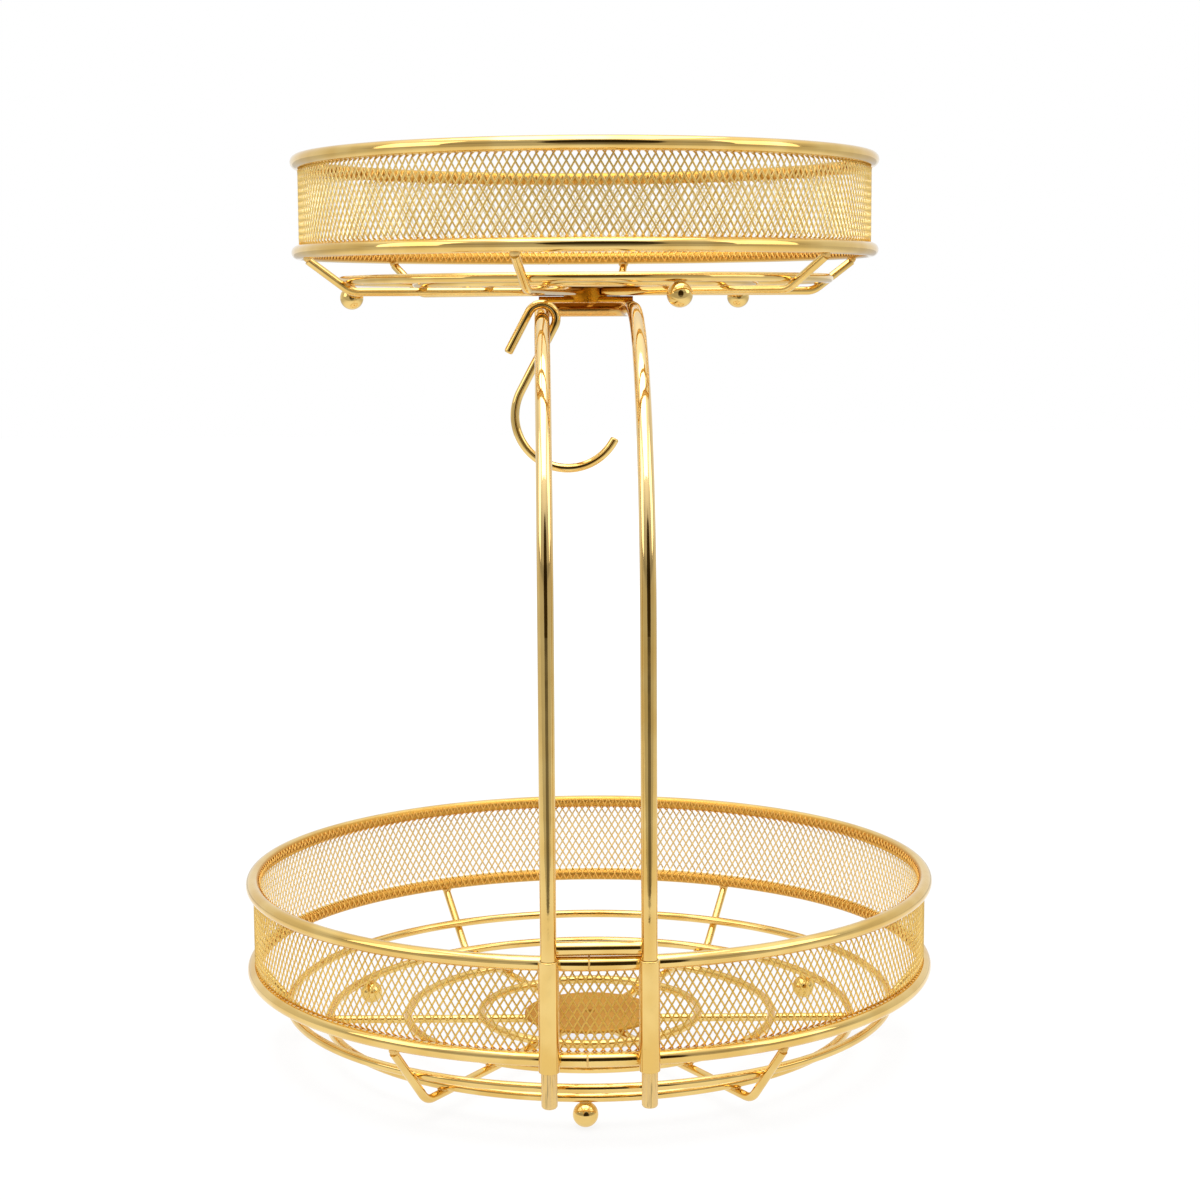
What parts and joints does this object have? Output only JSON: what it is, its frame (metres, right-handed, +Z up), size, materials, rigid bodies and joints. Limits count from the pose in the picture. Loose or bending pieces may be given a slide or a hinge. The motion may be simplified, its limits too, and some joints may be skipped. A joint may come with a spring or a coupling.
{
  "type": "tiered wire basket",
  "caption": "Two-tier gold wire fruit basket: round mesh-walled baskets on a hairpin stand that plugs into sleeves, with a swinging banana hook.",
  "frame": {"origin": "on the floor under the middle of the whole outline, close to the baskets' common axis", "axes": "+Z up, the posts of the stand on the -Y side (the front of the picture), +X to the viewer's right"},
  "size_m": [0.3, 0.3067, 0.3863],
  "materials": {
    "gold_wire": "polished gold plating on steel wire",
    "gold_mesh": "polished gold plating on expanded steel mesh",
    "gold_sheet": "polished gold plating on steel sheet and tube",
    "gold_screw": "polished gold plating on a steel screw"
  },
  "bodies": {
    "lower_basket": {"lower_top_rim": "gold_wire", "lower_bottom_rim": "gold_wire", "lower_mesh_wall": "gold_mesh", "lower_spoke_1": "gold_wire", "lower_spoke_2": "gold_wire", "lower_spoke_3": "gold_wire", "lower_spoke_4": "gold_wire", "lower_spoke_5": "gold_wire", "lower_spoke_6": "gold_wire", "lower_floor_ring_1": "gold_wire", "lower_floor_ring_2": "gold_wire", "lower_floor_ring_3": "gold_wire", "lower_floor_ring_4": "gold_wire", "lower_centre_plate": "gold_sheet", "lower_foot_1": "gold_wire", "lower_foot_2": "gold_wire", "lower_foot_3": "gold_wire", "left_sleeve": "gold_sheet", "right_sleeve": "gold_sheet"},
    "stand": {"stand_hairpin": "gold_wire", "stand_crossbar": "gold_wire", "saddle_strip": "gold_sheet", "clamp_screw": "gold_screw"},
    "upper_basket": {"upper_top_rim": "gold_wire", "upper_bottom_rim": "gold_wire", "upper_mesh_wall": "gold_mesh", "upper_spoke_1": "gold_wire", "upper_spoke_2": "gold_wire", "upper_spoke_3": "gold_wire", "upper_spoke_4": "gold_wire", "upper_spoke_5": "gold_wire", "upper_spoke_6": "gold_wire", "upper_floor_ring_1": "gold_wire", "upper_floor_ring_2": "gold_wire", "upper_floor_ring_3": "gold_wire", "upper_centre_plate": "gold_sheet", "upper_foot_1": "gold_wire", "upper_foot_2": "gold_wire", "upper_foot_3": "gold_wire"},
    "hook": {"banana_hook": "gold_wire"}
  },
  "joints": [
    {"name": "stand_lift", "type": "slide", "parent": "lower_basket", "child": "stand", "axis": [0, 0, 1], "range_m": [0, 0.055]},
    {"name": "upper_basket_turn", "type": "hinge", "parent": "stand", "child": "upper_basket", "pos_m": [0, 0.00336, 0.32916], "axis": [0, 0, 1], "continuous": true},
    {"name": "hook_swing", "type": "hinge", "parent": "stand", "child": "hook", "pos_m": [-0.01905, -0.05866, 0.31787], "axis": [0, 1, 0], "range_deg": [-30, 30]}
  ]
}
